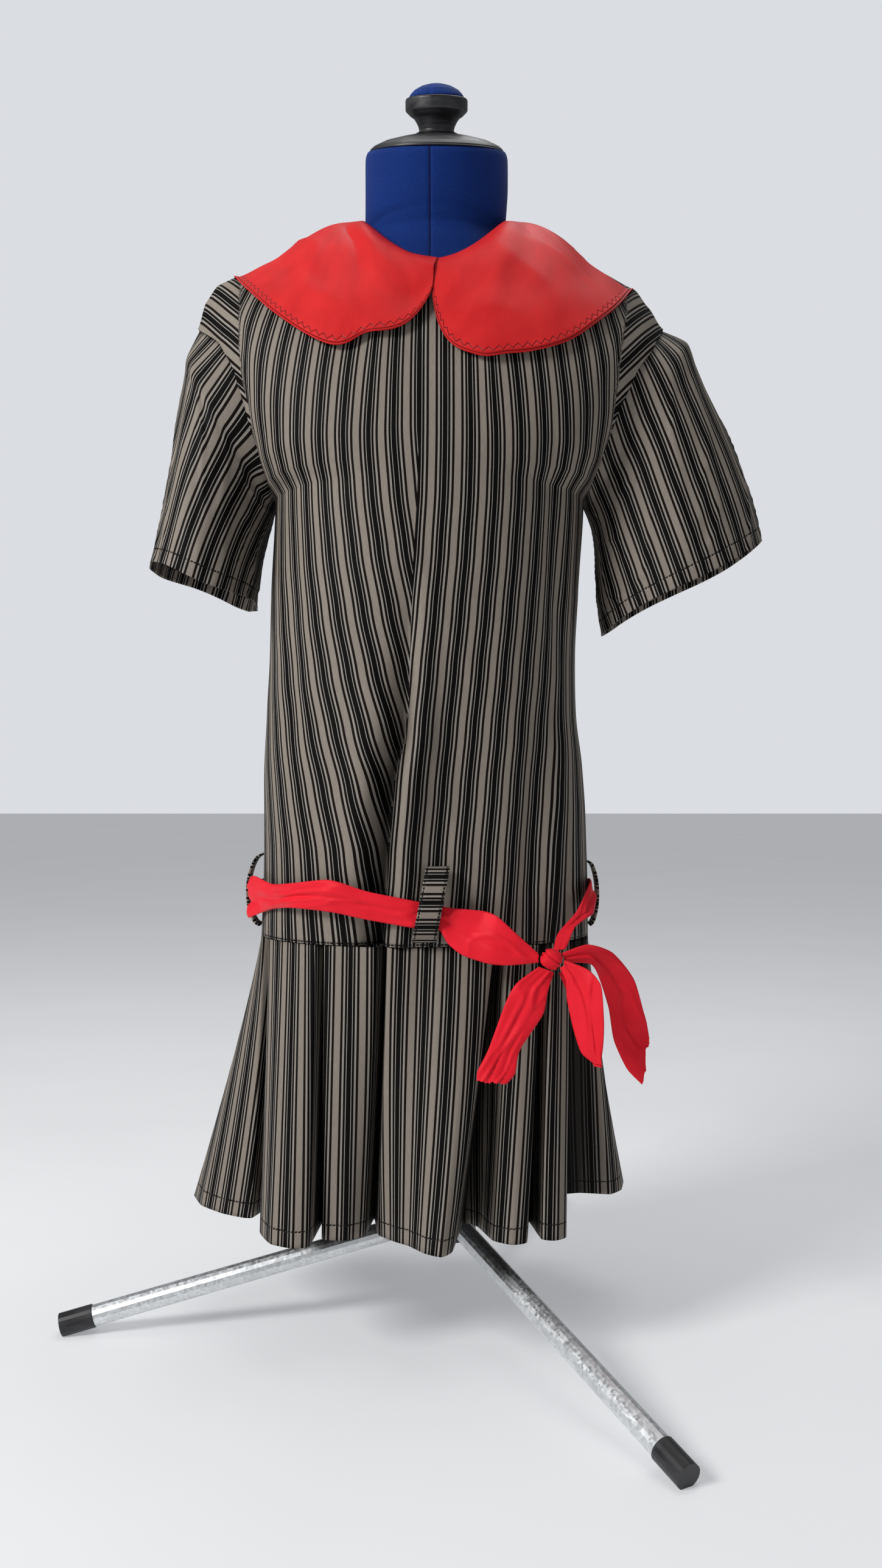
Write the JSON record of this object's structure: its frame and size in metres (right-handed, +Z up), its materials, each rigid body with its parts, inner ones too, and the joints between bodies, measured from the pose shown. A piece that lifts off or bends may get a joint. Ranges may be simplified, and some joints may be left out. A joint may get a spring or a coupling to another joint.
{
  "type": "drop-waist dress on a limbless dress form with stand",
  "caption": "Short-sleeved drop-waist dress in striped cloth with a red collar, sash and bow, worn by a limbless dress form on a three-legged stand.",
  "frame": {"origin": "middle of the base of the bounding box, on the floor that the three feet stand on", "axes": "+Z up, +X to the right of a viewer who faces the dress's front, +Y away from that viewer"},
  "size_m": [0.6358, 0.6118, 1.1174],
  "materials": {
    "striped_cloth": "matt twill with black and pale stripes",
    "collar_satin": "satin",
    "sash_satin": "soft satin",
    "form_cover": "matt stretch cover",
    "black_plastic": "fine grain",
    "steel_tube": "galvanised"
  },
  "bodies": {
    "root": {"bodice_front": "striped_cloth", "bodice_back": "striped_cloth", "sleeve_left": "striped_cloth", "sleeve_right": "striped_cloth", "skirt_front": "striped_cloth", "skirt_back": "striped_cloth", "loop_front": "striped_cloth", "loop_left": "striped_cloth", "loop_right": "striped_cloth", "collar_left": "collar_satin", "collar_right": "collar_satin", "belt_front_left": "sash_satin", "belt_front_right": "sash_satin", "belt_side_right": "sash_satin", "belt_back": "sash_satin", "belt_knot": "sash_satin", "bow_loop": "sash_satin", "bow_loop_back": "sash_satin", "bow_tail_left": "sash_satin", "bow_tail_right": "sash_satin", "form_torso": "form_cover", "knob_dome": "form_cover", "neck_cap": "black_plastic", "knob": "black_plastic", "stand_hub": "black_plastic", "foot_left": "black_plastic", "foot_right": "black_plastic", "foot_rear": "black_plastic", "stand_pole": "steel_tube", "leg_left": "steel_tube", "leg_right": "steel_tube", "leg_rear": "steel_tube"}
  },
  "joints": []
}
